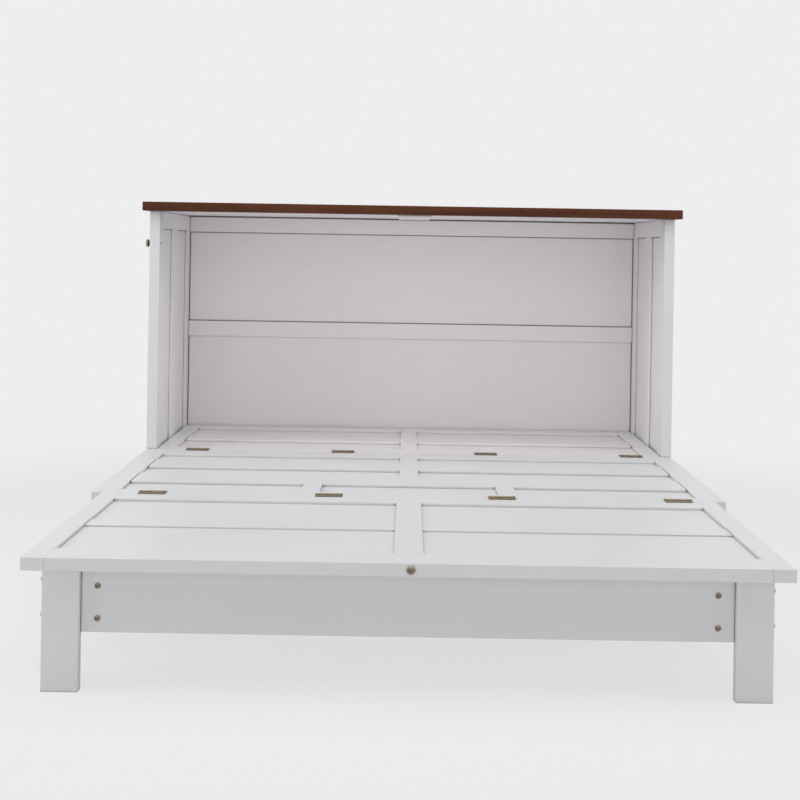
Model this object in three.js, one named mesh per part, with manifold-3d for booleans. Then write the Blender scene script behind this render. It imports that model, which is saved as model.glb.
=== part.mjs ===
// Cabinet bed, shown unfolded. Millimetres, +Z up, the foot end towards -Y.
// Until the last lines y = 0 is the hinge line between the cabinet and the middle section.
import * as THREE from 'three';
import { mergeVertices } from 'three/addons/utils/BufferGeometryUtils.js';
import Module from 'manifold-3d';

const wasm = await Module();
wasm.setup();

// Fits shared by all pieces
const SEAM = 0.3;
const CUT_OVERRUN = 2;
const ROUND_FACETS = 16;
const SMALL_FACETS = 12;
const CORNER_FACETS = 4;

// Cabinet carcass
const CABINET_WIDTH = 1651;
const CABINET_DEPTH = 598;
const CARCASS_HEIGHT = 1034.5;
const SIDE_THICKNESS = 31.5;
const FIELD_RELIEF = 8;
const FIELD_GAP = 2;
const TONGUE_THICKNESS = 7.5;
const TONGUE_DEPTH = 8;
const SIDE_FRONT_STILE = 70;
const SIDE_MIDDLE_STILE = 88;
const SIDE_REAR_STILE = 76;
const SIDE_FRONT_FIELD_SHARE = 0.4725;
const SIDE_TOP_RAIL_HEIGHT = 54.5;
const SIDE_BASE_RAIL_HEIGHT = 90;
const BACK_THICKNESS = 16;
const BACK_TOP_GAP = 4.5;
const BACK_TOP_RAIL = 52.5;
const BACK_MIDDLE_RAIL = 54;
const BACK_MIDDLE_RAIL_HEIGHT = 605.5;
const BACK_GROOVE = 2.5;
const BACK_GROOVE_DEPTH = 4;

// Brown top slab, its white liner and the batten under it
const TOP_THICKNESS = 28;
const TOP_SIDE_OVERHANG = 18.5;
const TOP_FRONT_OVERHANG = 33;
const TOP_BACK_OVERHANG = 8;
const LINER_THICKNESS = 4;
const LINER_SETBACK = 40;
const BATTEN_WIDTH = 107;
const BATTEN_PLACE = 7;

// Platform sections
const DECK_HEIGHT = 286;
const DECK_THICKNESS = 27;
const DECK_RELIEF = 7.5;
const BASE_BOARD = 12;
const HINGE_LINE_GAP = 1;
const CENTRE_STILE = 54;
const SLAT_END_GAP = 3;

// Head section, fixed inside the cabinet
const HEAD_SIDE_CLEARANCE = 1;
const HEAD_STILE = 52;
const HEAD_FRONT_RAIL = 52;
const HEAD_SLAT = 79;
const HEAD_REAR_RAIL = 70.7;
const HEAD_FRONT_CHANNEL_SHARE = 0.4717;
const LEDGER_WIDTH = 30;
const LEDGER_HEIGHT = 40;
const LEDGER_SETBACK = 30;
const KICK_BOARD = 18;
const KICK_SETBACK = 8;

// Middle section, which fills the cabinet's front when folded
const FOLDED_TOP_CLEARANCE = 3.5;
const MID_REAR_RAIL = 96;
const MID_REAR_SLAT = 135;
const MID_FRONT_SLAT = 140;
const MID_FRONT_RAIL = 47;
const MID_REAR_CHANNEL_SHARE = 0.2981;
const MID_CENTRE_CHANNEL_SHARE = 0.3261;
const MID_STILE = 65;
const MID_SIDE_INSET = 3;
const STUB_WIDTH = 50;
const STUB_OFFSET = 260;

// Foot section, whose front edge clears the head section when folded
const FOOT_SIDE_CLEARANCE = 1;
const FOLDED_FOOT_CLEARANCE = 10;
const FOOT_FRONT_RAIL_WIDTH = 90;
const FOOT_REAR_RAIL_WIDTH = 83;
const FOOT_FRONT_BOARD_SHARE = 0.4514;
const FOOT_SLAT = 70;
const FOOT_SLAT_RELIEF = 4;
const FOOT_STILE = 47.5;
const FOOT_CENTRE_STILE = 63;

// Legs and aprons under the foot section
const LEG_WIDTH = 78;
const LEG_BOARD = 24;
const LEG_SIDE_INSET = 35;
const LEG_FRONT_INSET = 35.5;
const LEG_REAR_INSET = 74;
const APRON_HEIGHT = 138;
const APRON_THICKNESS = 22;
const APRON_RECESS = 15;
const BLOCK_LENGTH = 114;

// Butt hinges
const HINGE_LENGTH = 70;
const HINGE_LEAF = 21;
const HINGE_PLATE = 2;
const HINGE_CORNER = 4;
const HINGE_AXIS_RISE = 3;
const KNUCKLE_RADIUS = 2.7;
const KNUCKLE_COUNT = 5;
const KNUCKLE_PLAY = 0.4;
const PIN_RADIUS = 1.3;
const PIN_PLAY = 0.3;
const HINGE_SHIFT = 17.5;
const HINGE_END_DISTANCE = 113;
const HINGE_INNER_PLACE_SHARE = 0.329;

// Latch in the left side of the cabinet
const LATCH_BELOW_TOP = 101.5;
const LATCH_PIN_RADIUS = 4;
const LATCH_PIN_PLAY = 0.3;
const LATCH_REACH = 1.5;
const LATCH_NOSE = 1.5;
const LATCH_SOCKET_DEPTH = 12;
const KNOB_RADIUS = 13;
const KNOB_PROJECTION = 15;
const KNOB_HEAD = 9.5;
const KNOB_NECK_RADIUS = 8;
const KNOB_ROSE_RADIUS = 12;
const KNOB_ROSE = 3.5;
const KNOB_CURVE_STEPS = 8;

// Tie bolt in the foot section's front edge
const TIE_BOLT_PLACE = 5;
const TIE_BOLT_LENGTH = 60;
const TIE_BOLT_RADIUS = 4;
const TIE_BOLT_PLAY = 0.3;
const CUP_RADIUS = 9;
const CUP_PROJECTION = 4.5;
const CUP_RIM = 1.5;
const CUP_MOUTH_RADIUS = 6;
const CUP_DEPTH = 2;

// Places worked out from the sizes above
const OUTER_X = CABINET_WIDTH / 2;
const INNER_X = OUTER_X - SIDE_THICKNESS;
const DECK_UNDERSIDE = DECK_HEIGHT - DECK_THICKNESS;
const FIELD_TOP = DECK_HEIGHT - DECK_RELIEF;
const FIELD_UNDERSIDE = FIELD_TOP - BASE_BOARD;
const HINGE_AXIS_Z = DECK_HEIGHT + HINGE_AXIS_RISE;
const BACK_FACE_Y = CABINET_DEPTH - BACK_THICKNESS;
const BACK_RAIL_Y = BACK_FACE_Y - FIELD_RELIEF;
const BACK_RAIL_TOP_Z = CARCASS_HEIGHT - BACK_TOP_GAP;
const HEAD_X = INNER_X - HEAD_SIDE_CLEARANCE;
const ROW_B_Y = -(CARCASS_HEIGHT - FOLDED_TOP_CLEARANCE - HINGE_AXIS_Z);
const MID_X = OUTER_X - MID_SIDE_INSET;
const MID_LENGTH = -ROW_B_Y - 2 * HINGE_LINE_GAP;
const MID_CHANNELS = MID_LENGTH - MID_REAR_RAIL - MID_REAR_SLAT - MID_FRONT_SLAT - MID_FRONT_RAIL;
const FOOT_LENGTH = HINGE_AXIS_RISE - ROW_B_Y - HINGE_LINE_GAP - FOLDED_FOOT_CLEARANCE;
const FOOT_REAR_Y = ROW_B_Y - HINGE_LINE_GAP;
const FOOT_FRONT_Y = FOOT_REAR_Y - FOOT_LENGTH;
const FOOT_X = INNER_X - FOOT_SIDE_CLEARANCE;
const DECK_MIDDLE_Z = DECK_HEIGHT - DECK_THICKNESS / 2;
const LATCH_Y = HINGE_AXIS_RISE + DECK_THICKNESS / 2;
const LATCH_Z = CARCASS_HEIGHT - LATCH_BELOW_TOP;

const SIDES = [
  { name: 'left', sign: -1 },
  { name: 'right', sign: 1 },
];
const HINGE_OUTER_PLACE = INNER_X - HINGE_END_DISTANCE;
const HINGE_INNER_PLACE = HINGE_OUTER_PLACE * HINGE_INNER_PLACE_SHARE;
const HINGE_PLACES = [-HINGE_OUTER_PLACE, -HINGE_INNER_PLACE, HINGE_INNER_PLACE, HINGE_OUTER_PLACE];

// Finishes
const FINISHES = {
  white: { color: 0xe2e1e3, roughness: 0.45, metalness: 0 },
  brown: { color: 0x52302a, roughness: 0.4, metalness: 0 },
  brass: { color: 0x84724a, roughness: 0.35, metalness: 0.9 },
};

const bed = new THREE.Group();

// Adds one named piece to the bed.
function addPiece(name, finish, geometry) {
  const mesh = new THREE.Mesh(geometry, new THREE.MeshStandardMaterial(FINISHES[finish]));
  mesh.name = name;
  bed.add(mesh);
}

// A board between two corners.
function board(x, y, z) {
  const box = new THREE.BoxGeometry(x[1] - x[0], y[1] - y[0], z[1] - z[0]);
  return box.translate((x[0] + x[1]) / 2, (y[0] + y[1]) / 2, (z[0] + z[1]) / 2);
}

// The span from inner to outer on one side of the centre plane, lowest first.
function spanOn(side, inner, outer) {
  return [side.sign * inner, side.sign * outer].sort((a, b) => a - b);
}

// A closed mesh as a solid that can be joined and cut.
function solidOf(geometry) {
  const bare = geometry.clone();
  bare.deleteAttribute('normal');
  bare.deleteAttribute('uv');
  const merged = mergeVertices(bare);
  const vertProperties = Float32Array.from(merged.attributes.position.array);
  const triVerts = Uint32Array.from(merged.index.array);
  return new wasm.Manifold(new wasm.Mesh({ numProp: 3, vertProperties, triVerts }));
}

// The mesh of a joined or cut solid.
function geometryOf(solid) {
  const { vertProperties, triVerts } = solid.getMesh();
  const geometry = new THREE.BufferGeometry();
  geometry.setAttribute('position', new THREE.BufferAttribute(vertProperties, 3));
  geometry.setIndex(new THREE.BufferAttribute(triVerts, 1));
  return geometry;
}

// First geometry joined with the others.
function joined(first, ...others) {
  return geometryOf(others.reduce((solid, other) => solid.add(solidOf(other)), solidOf(first)));
}

// First geometry with the others cut away.
function cutBy(first, ...others) {
  return geometryOf(others.reduce((solid, other) => solid.subtract(solidOf(other)), solidOf(first)));
}

// A round bar along X from one x to another.
function barAlongX(radius, x, y, z, facets) {
  const bar = new THREE.CylinderGeometry(radius, radius, x[1] - x[0], facets);
  return bar.rotateZ(Math.PI / 2).translate((x[0] + x[1]) / 2, y, z);
}

// A round bar along Y from one y to another.
function barAlongY(radius, x, y, z, facets) {
  const bar = new THREE.CylinderGeometry(radius, radius, y[1] - y[0], facets);
  return bar.translate(x, (y[0] + y[1]) / 2, z);
}

// Turned profile: [radius, distance along the axis] pairs, the axis being +Y before it is turned.
function turned(profile, facets) {
  return new THREE.LatheGeometry(profile.map(([radius, along]) => new THREE.Vector2(radius, along)), facets);
}

// Cabinet side: a grooved frame of stiles and rails, its panel held by a tongue all round.
// A false middle stile lies on both faces of the panel.
function addCabinetSide(side) {
  const fieldFrom = SIDE_FRONT_STILE;
  const fieldTo = CABINET_DEPTH - SIDE_REAR_STILE;
  const middleFrom = fieldFrom + (fieldTo - fieldFrom - SIDE_MIDDLE_STILE) * SIDE_FRONT_FIELD_SHARE;
  const middleTo = middleFrom + SIDE_MIDDLE_STILE;
  const fieldTop = CARCASS_HEIGHT - SIDE_TOP_RAIL_HEIGHT;
  const panelInner = INNER_X + FIELD_RELIEF;
  const panelOuter = OUTER_X - FIELD_RELIEF;
  const tongueInner = (INNER_X + OUTER_X - TONGUE_THICKNESS) / 2;
  const tongueOuter = tongueInner + TONGUE_THICKNESS;
  const stripHeight = [SIDE_BASE_RAIL_HEIGHT - CUT_OVERRUN, fieldTop + CUT_OVERRUN];

  const slab = board(spanOn(side, INNER_X, OUTER_X), [0, CABINET_DEPTH], [0, CARCASS_HEIGHT - SEAM]);
  const cuts = [
    board(
      spanOn(side, INNER_X - CUT_OVERRUN, OUTER_X + CUT_OVERRUN),
      [fieldFrom, fieldTo],
      [SIDE_BASE_RAIL_HEIGHT, fieldTop],
    ),
    board(
      spanOn(side, tongueInner - SEAM, tongueOuter + SEAM),
      [fieldFrom - TONGUE_DEPTH - SEAM, fieldTo + TONGUE_DEPTH + SEAM],
      [SIDE_BASE_RAIL_HEIGHT - TONGUE_DEPTH - SEAM, fieldTop + TONGUE_DEPTH + SEAM],
    ),
  ];
  if (side.name === 'left') {
    cuts.push(latchBore());
  }
  const strips = [
    board(spanOn(side, INNER_X, panelInner - SEAM), [middleFrom, middleTo], stripHeight),
    board(spanOn(side, panelOuter + SEAM, OUTER_X), [middleFrom, middleTo], stripHeight),
  ];
  addPiece(`side_frame_${side.name}`, 'white', joined(cutBy(slab, ...cuts), ...strips));
  const field = board(
    spanOn(side, panelInner, panelOuter),
    [fieldFrom + FIELD_GAP, fieldTo - FIELD_GAP],
    [SIDE_BASE_RAIL_HEIGHT + FIELD_GAP, fieldTop - FIELD_GAP],
  );
  const tongue = board(
    spanOn(side, tongueInner, tongueOuter),
    [fieldFrom - TONGUE_DEPTH, fieldTo + TONGUE_DEPTH],
    [SIDE_BASE_RAIL_HEIGHT - TONGUE_DEPTH, fieldTop + TONGUE_DEPTH],
  );
  addPiece(`side_panel_${side.name}`, 'white', joined(field, tongue));
}

// Bore for the latch pin, through the left side.
function latchBore() {
  const through = [-OUTER_X - CUT_OVERRUN, -INNER_X + CUT_OVERRUN];
  return barAlongX(LATCH_PIN_RADIUS + LATCH_PIN_PLAY, through, LATCH_Y, LATCH_Z, ROUND_FACETS);
}

// Back board with its two applied rails. The upper one stops a little below the top slab.
// Narrow grooves set the board off from the rails and from the sides.
function addCabinetBack() {
  const width = [-INNER_X + SEAM, INNER_X - SEAM];
  const railY = [BACK_RAIL_Y, BACK_FACE_Y - SEAM];
  const topRail = [BACK_RAIL_TOP_Z - BACK_TOP_RAIL, BACK_RAIL_TOP_Z];
  const middleRail = [BACK_MIDDLE_RAIL_HEIGHT, BACK_MIDDLE_RAIL_HEIGHT + BACK_MIDDLE_RAIL];
  const grooveX = [-INNER_X, INNER_X];
  const grooveY = [BACK_FACE_Y - CUT_OVERRUN, BACK_FACE_Y + BACK_GROOVE_DEPTH];
  const grooves = SIDES.map((side) => board(
    spanOn(side, INNER_X - SEAM - BACK_GROOVE, INNER_X),
    grooveY,
    [-CUT_OVERRUN, CARCASS_HEIGHT],
  ));
  grooves.push(board(grooveX, grooveY, [topRail[0] - BACK_GROOVE, topRail[0]]));
  grooves.push(board(grooveX, grooveY, [middleRail[1], middleRail[1] + BACK_GROOVE]));

  const slab = board(width, [BACK_FACE_Y, CABINET_DEPTH], [0, CARCASS_HEIGHT - SEAM]);
  addPiece('back_board', 'white', cutBy(slab, ...grooves));
  addPiece('back_top_rail', 'white', board(width, railY, topRail));
  addPiece('back_middle_rail', 'white', board(width, railY, middleRail));
}

// Brown slab, rebated underneath for a white liner that carries a batten.
function addTop() {
  const slabX = OUTER_X + TOP_SIDE_OVERHANG;
  const slab = board(
    [-slabX, slabX],
    [-TOP_FRONT_OVERHANG, CABINET_DEPTH + TOP_BACK_OVERHANG],
    [CARCASS_HEIGHT, CARCASS_HEIGHT + TOP_THICKNESS],
  );
  const rebate = board(
    [-INNER_X, INNER_X],
    [LINER_SETBACK, BACK_RAIL_Y],
    [CARCASS_HEIGHT - CUT_OVERRUN, CARCASS_HEIGHT + LINER_THICKNESS],
  );
  const liner = board(
    [-INNER_X + SEAM, INNER_X - SEAM],
    [LINER_SETBACK + SEAM, BACK_RAIL_Y - SEAM],
    [CARCASS_HEIGHT, CARCASS_HEIGHT + LINER_THICKNESS - SEAM],
  );
  const batten = board(
    [BATTEN_PLACE - BATTEN_WIDTH / 2, BATTEN_PLACE + BATTEN_WIDTH / 2],
    [LINER_SETBACK + SEAM, BACK_RAIL_Y - SEAM],
    [BACK_RAIL_TOP_Z + SEAM, CARCASS_HEIGHT + LINER_THICKNESS / 2],
  );
  addPiece('cabinet_top', 'brown', cutBy(slab, rebate));
  addPiece('top_liner', 'white', joined(liner, batten));
}

// Ledgers and the kick board, which carry the head section.
function addHeadSupports() {
  const underHead = DECK_UNDERSIDE - SEAM;
  for (const side of SIDES) {
    addPiece(`ledger_${side.name}`, 'white', board(
      spanOn(side, INNER_X - LEDGER_WIDTH, INNER_X - SEAM),
      [LEDGER_SETBACK, BACK_FACE_Y - LEDGER_SETBACK],
      [underHead - LEDGER_HEIGHT, underHead],
    ));
  }
  addPiece('kick_board', 'white', board(
    [-INNER_X + SEAM, INNER_X - SEAM],
    [KICK_SETBACK, KICK_SETBACK + KICK_BOARD],
    [0, underHead],
  ));
}

// A slat on the base board, notched from below where the centre stile crosses it.
function lappedSlat(x, y) {
  const lapTop = FIELD_TOP + DECK_RELIEF / 2;
  const slat = board(x, y, [FIELD_TOP + SEAM, DECK_HEIGHT]);
  const notch = board(
    [-CENTRE_STILE / 2 - SEAM, CENTRE_STILE / 2 + SEAM],
    [y[0] - CUT_OVERRUN, y[1] + CUT_OVERRUN],
    [FIELD_TOP - CUT_OVERRUN, lapTop],
  );
  return cutBy(slat, notch);
}

// A centre stile on the base board, notched from above where a slat crosses it.
function lappedCentreStile(y, slatY) {
  const lapTop = FIELD_TOP + DECK_RELIEF / 2 - SEAM;
  const stile = board([-CENTRE_STILE / 2, CENTRE_STILE / 2], y, [FIELD_TOP + SEAM, DECK_HEIGHT]);
  const notch = board(
    [-CENTRE_STILE / 2 - CUT_OVERRUN, CENTRE_STILE / 2 + CUT_OVERRUN],
    [slatY[0] - SEAM, slatY[1] + SEAM],
    [lapTop, DECK_HEIGHT + CUT_OVERRUN],
  );
  return cutBy(stile, notch);
}

// Head section: a framed board with one slat and a centre stile.
function addHeadSection() {
  const frontY = HINGE_LINE_GAP;
  const rearY = BACK_RAIL_Y - SEAM;
  const innerX = HEAD_X - HEAD_STILE;
  const frontRailTo = frontY + HEAD_FRONT_RAIL;
  const rearRailFrom = rearY - HEAD_REAR_RAIL;
  const slatFrom = frontRailTo + (rearRailFrom - frontRailTo - HEAD_SLAT) * HEAD_FRONT_CHANNEL_SHARE;
  const slatY = [slatFrom, slatFrom + HEAD_SLAT];
  const between = [-innerX + SEAM, innerX - SEAM];
  const slatX = [-innerX + SLAT_END_GAP, innerX - SLAT_END_GAP];
  const fullHeight = [DECK_UNDERSIDE, DECK_HEIGHT];

  for (const side of SIDES) {
    const width = spanOn(side, innerX, HEAD_X);
    addPiece(`head_stile_${side.name}`, 'white', board(width, [frontY, rearY], fullHeight));
  }
  addPiece('head_front_rail', 'white', board(between, [frontY, frontRailTo], fullHeight));
  addPiece('head_rear_rail', 'white', board(between, [rearRailFrom, rearY], fullHeight));
  addPiece('head_base_board', 'white', board(
    between,
    [frontRailTo + SEAM, rearRailFrom - SEAM],
    [FIELD_UNDERSIDE, FIELD_TOP],
  ));
  addPiece('head_slat', 'white', lappedSlat(slatX, slatY));
  addPiece('head_centre_stile', 'white', lappedCentreStile([frontRailTo + SEAM, rearRailFrom - SEAM], slatY));
}

// Middle section: a framed board with two slats, a centre stile and two stubs on the front rail.
function addMiddleSection() {
  const rearY = -HINGE_LINE_GAP;
  const frontY = rearY - MID_LENGTH;
  const innerX = MID_X - MID_STILE;
  const rearRailFrom = rearY - MID_REAR_RAIL;
  const rearSlatTo = rearRailFrom - MID_CHANNELS * MID_REAR_CHANNEL_SHARE;
  const rearSlatFrom = rearSlatTo - MID_REAR_SLAT;
  const frontSlatTo = rearSlatFrom - MID_CHANNELS * MID_CENTRE_CHANNEL_SHARE;
  const frontSlatFrom = frontSlatTo - MID_FRONT_SLAT;
  const frontRailTo = frontY + MID_FRONT_RAIL;
  const between = [-innerX + SEAM, innerX - SEAM];
  const slatX = [-innerX + SLAT_END_GAP, innerX - SLAT_END_GAP];
  const fullHeight = [DECK_UNDERSIDE, DECK_HEIGHT];

  for (const side of SIDES) {
    const width = spanOn(side, innerX, MID_X);
    addPiece(`mid_stile_${side.name}`, 'white', board(width, [frontY, rearY], fullHeight));
  }
  const stubs = SIDES.map((side) => board(
    spanOn(side, STUB_OFFSET - STUB_WIDTH / 2, STUB_OFFSET + STUB_WIDTH / 2),
    [frontRailTo - CUT_OVERRUN, frontSlatFrom - SEAM],
    [FIELD_TOP + SEAM, DECK_HEIGHT],
  ));
  addPiece('mid_front_rail', 'white', joined(board(between, [frontY, frontRailTo], fullHeight), ...stubs));
  addPiece('mid_rear_rail', 'white', board(between, [rearRailFrom, rearY], fullHeight));
  addPiece('mid_base_board', 'white', board(
    between,
    [frontRailTo + SEAM, rearRailFrom - SEAM],
    [FIELD_UNDERSIDE, FIELD_TOP],
  ));
  addPiece('mid_front_slat', 'white', board(
    slatX,
    [frontSlatFrom, frontSlatTo],
    [FIELD_TOP + SEAM, DECK_HEIGHT],
  ));
  addPiece('mid_rear_slat', 'white', lappedSlat(slatX, [rearSlatFrom, rearSlatTo]));
  addPiece('mid_centre_stile', 'white', lappedCentreStile(
    [frontSlatTo + SEAM, rearRailFrom - SEAM],
    [rearSlatFrom, rearSlatTo],
  ));
}

// Foot stile, the left one with the latch's socket.
function footStile(side) {
  const width = spanOn(side, FOOT_X - FOOT_STILE, FOOT_X);
  const stile = board(width, [FOOT_FRONT_Y, FOOT_REAR_Y], [DECK_UNDERSIDE, DECK_HEIGHT]);
  return side.name === 'left' ? cutBy(stile, latchSocket()) : stile;
}

// Socket in the foot section's left edge, which meets the latch pin when the bed is folded away.
function latchSocket() {
  const alongSection = LATCH_BELOW_TOP - FOLDED_TOP_CLEARANCE;
  const depth = [-FOOT_X - CUT_OVERRUN, -FOOT_X + LATCH_SOCKET_DEPTH];
  const radius = LATCH_PIN_RADIUS + LATCH_PIN_PLAY;
  return barAlongX(radius, depth, ROW_B_Y - alongSection, DECK_MIDDLE_Z, ROUND_FACETS);
}

// Foot section's deck: framed, with two base boards. The rear one has a raised slat along its front edge.
function addFootDeck() {
  const between = [-FOOT_X + FOOT_STILE + SEAM, FOOT_X - FOOT_STILE - SEAM];
  const frontRailTo = FOOT_FRONT_Y + FOOT_FRONT_RAIL_WIDTH;
  const rearRailFrom = FOOT_REAR_Y - FOOT_REAR_RAIL_WIDTH;
  const boardsMeet = frontRailTo + (rearRailFrom - frontRailTo) * FOOT_FRONT_BOARD_SHARE;
  const slatTop = DECK_HEIGHT - FOOT_SLAT_RELIEF;
  const fullHeight = [DECK_UNDERSIDE, DECK_HEIGHT];
  const boltBore = barAlongY(
    TIE_BOLT_RADIUS + TIE_BOLT_PLAY,
    TIE_BOLT_PLACE,
    [FOOT_FRONT_Y - CUT_OVERRUN, FOOT_FRONT_Y + TIE_BOLT_LENGTH + TIE_BOLT_PLAY],
    DECK_MIDDLE_Z,
    ROUND_FACETS,
  );

  for (const side of SIDES) {
    addPiece(`foot_stile_${side.name}`, 'white', footStile(side));
  }
  const frontRail = board(between, [FOOT_FRONT_Y, frontRailTo], fullHeight);
  addPiece('foot_front_rail', 'white', cutBy(frontRail, boltBore));
  addPiece('foot_rear_rail', 'white', board(between, [rearRailFrom, FOOT_REAR_Y], fullHeight));
  addPiece('foot_front_board', 'white', board(
    between,
    [frontRailTo + SEAM, boardsMeet - SEAM],
    [FIELD_UNDERSIDE, FIELD_TOP],
  ));
  addPiece('foot_rear_board', 'white', joined(
    board(between, [boardsMeet, rearRailFrom - SEAM], [FIELD_UNDERSIDE, FIELD_TOP]),
    board(between, [boardsMeet, boardsMeet + FOOT_SLAT], [FIELD_UNDERSIDE, slatTop]),
  ));
  const stile = board(
    [-FOOT_CENTRE_STILE / 2, FOOT_CENTRE_STILE / 2],
    [frontRailTo + SEAM, rearRailFrom - SEAM],
    [FIELD_TOP + SEAM, DECK_HEIGHT],
  );
  const notch = board(
    [-FOOT_CENTRE_STILE, FOOT_CENTRE_STILE],
    [boardsMeet - SEAM, boardsMeet + FOOT_SLAT + SEAM],
    [FIELD_TOP - CUT_OVERRUN, slatTop + SEAM],
  );
  addPiece('foot_centre_stile', 'white', cutBy(stile, notch));
}

// L-section leg with its corner block. outerY is its outer face, inward is the way into the frame.
function legGeometry(side, outerY, inward) {
  const outerX = FOOT_X - LEG_SIDE_INSET;
  const spanY = (near, far) => [outerY + inward * near, outerY + inward * far].sort((a, b) => a - b);
  const height = [0, DECK_UNDERSIDE - SEAM];
  const blockFrom = APRON_RECESS + APRON_THICKNESS + SEAM;
  return joined(
    board(spanOn(side, outerX - LEG_WIDTH, outerX), spanY(0, LEG_BOARD), height),
    board(spanOn(side, outerX - LEG_BOARD, outerX), spanY(0, LEG_WIDTH), height),
    board(
      spanOn(side, outerX - LEG_BOARD - BLOCK_LENGTH, outerX - LEG_BOARD / 2),
      spanY(blockFrom, LEG_WIDTH),
      [DECK_UNDERSIDE - APRON_HEIGHT, DECK_UNDERSIDE - SEAM],
    ),
  );
}

// Apron across the foot section between two legs.
function crossApron(outerY, inward) {
  const endX = FOOT_X - LEG_SIDE_INSET - LEG_WIDTH - SEAM;
  const faces = [outerY + inward * APRON_RECESS, outerY + inward * (APRON_RECESS + APRON_THICKNESS)];
  const height = [DECK_UNDERSIDE - APRON_HEIGHT, DECK_UNDERSIDE - SEAM];
  return board([-endX, endX], faces.sort((a, b) => a - b), height);
}

// Legs and aprons.
function addFootFrame() {
  const frontY = FOOT_FRONT_Y + LEG_FRONT_INSET;
  const rearY = FOOT_REAR_Y - LEG_REAR_INSET;
  const apronOuterX = FOOT_X - LEG_SIDE_INSET - APRON_RECESS;
  for (const side of SIDES) {
    addPiece(`leg_front_${side.name}`, 'white', legGeometry(side, frontY, 1));
    addPiece(`leg_rear_${side.name}`, 'white', legGeometry(side, rearY, -1));
    addPiece(`apron_${side.name}`, 'white', board(
      spanOn(side, apronOuterX - APRON_THICKNESS, apronOuterX),
      [frontY + LEG_WIDTH + SEAM, rearY - LEG_WIDTH - SEAM],
      [DECK_UNDERSIDE - APRON_HEIGHT, DECK_UNDERSIDE - SEAM],
    ));
  }
  addPiece('apron_front', 'white', crossApron(frontY, 1));
  addPiece('apron_rear', 'white', crossApron(rearY, -1));
}

// Hinge plate lying on the deck, its outer corners rounded. outward is the way from the axis.
function hingePlate(placeX, axisY, outward) {
  const half = HINGE_LENGTH / 2;
  const near = KNUCKLE_RADIUS + 2 * PIN_PLAY;
  const outline = new THREE.Shape();
  outline.moveTo(-half, near);
  outline.lineTo(-half, HINGE_LEAF - HINGE_CORNER);
  outline.quadraticCurveTo(-half, HINGE_LEAF, -half + HINGE_CORNER, HINGE_LEAF);
  outline.lineTo(half - HINGE_CORNER, HINGE_LEAF);
  outline.quadraticCurveTo(half, HINGE_LEAF, half, HINGE_LEAF - HINGE_CORNER);
  outline.lineTo(half, near);
  const form = { depth: HINGE_PLATE, bevelEnabled: false, curveSegments: CORNER_FACETS };
  const plate = new THREE.ExtrudeGeometry(outline, form);
  if (outward < 0) {
    plate.rotateZ(Math.PI);
  }
  return plate.translate(placeX, axisY, DECK_HEIGHT + SEAM);
}

// One leaf: the plate, its knuckles and, on the fixed leaf, the pin.
function hingeLeaf(placeX, axisY, outward, holdsPin) {
  const pitch = HINGE_LENGTH / KNUCKLE_COUNT;
  const start = placeX - HINGE_LENGTH / 2;
  const reach = KNUCKLE_RADIUS + 3 * PIN_PLAY;
  const parts = [];
  for (let index = holdsPin ? 0 : 1; index < KNUCKLE_COUNT; index += 2) {
    const spanX = [start + index * pitch + KNUCKLE_PLAY / 2, start + (index + 1) * pitch - KNUCKLE_PLAY / 2];
    const neckY = [axisY, axisY + outward * reach].sort((a, b) => a - b);
    parts.push(barAlongX(KNUCKLE_RADIUS, spanX, axisY, HINGE_AXIS_Z, SMALL_FACETS));
    parts.push(board(spanX, neckY, [DECK_HEIGHT + SEAM, DECK_HEIGHT + SEAM + HINGE_PLATE]));
  }
  const pinX = [start + KNUCKLE_PLAY, start + HINGE_LENGTH - KNUCKLE_PLAY];
  const plate = hingePlate(placeX, axisY, outward);
  if (holdsPin) {
    return joined(plate, ...parts, barAlongX(PIN_RADIUS, pinX, axisY, HINGE_AXIS_Z, SMALL_FACETS));
  }
  const boreX = [start - CUT_OVERRUN, start + HINGE_LENGTH + CUT_OVERRUN];
  const bore = barAlongX(PIN_RADIUS + PIN_PLAY, boreX, axisY, HINGE_AXIS_Z, SMALL_FACETS);
  return cutBy(joined(plate, ...parts), bore);
}

// Two rows of butt hinges: row A on the cabinet, row B between the middle and the foot sections.
function addHinges() {
  HINGE_PLACES.forEach((place, index) => {
    const placeX = place + HINGE_SHIFT;
    const number = index + 1;
    addPiece(`hinge_a_head_leaf_${number}`, 'brass', hingeLeaf(placeX, 0, 1, true));
    addPiece(`hinge_a_mid_leaf_${number}`, 'brass', hingeLeaf(placeX, 0, -1, false));
    addPiece(`hinge_b_mid_leaf_${number}`, 'brass', hingeLeaf(placeX, ROW_B_Y, 1, true));
    addPiece(`hinge_b_foot_leaf_${number}`, 'brass', hingeLeaf(placeX, ROW_B_Y, -1, false));
  });
}

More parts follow.
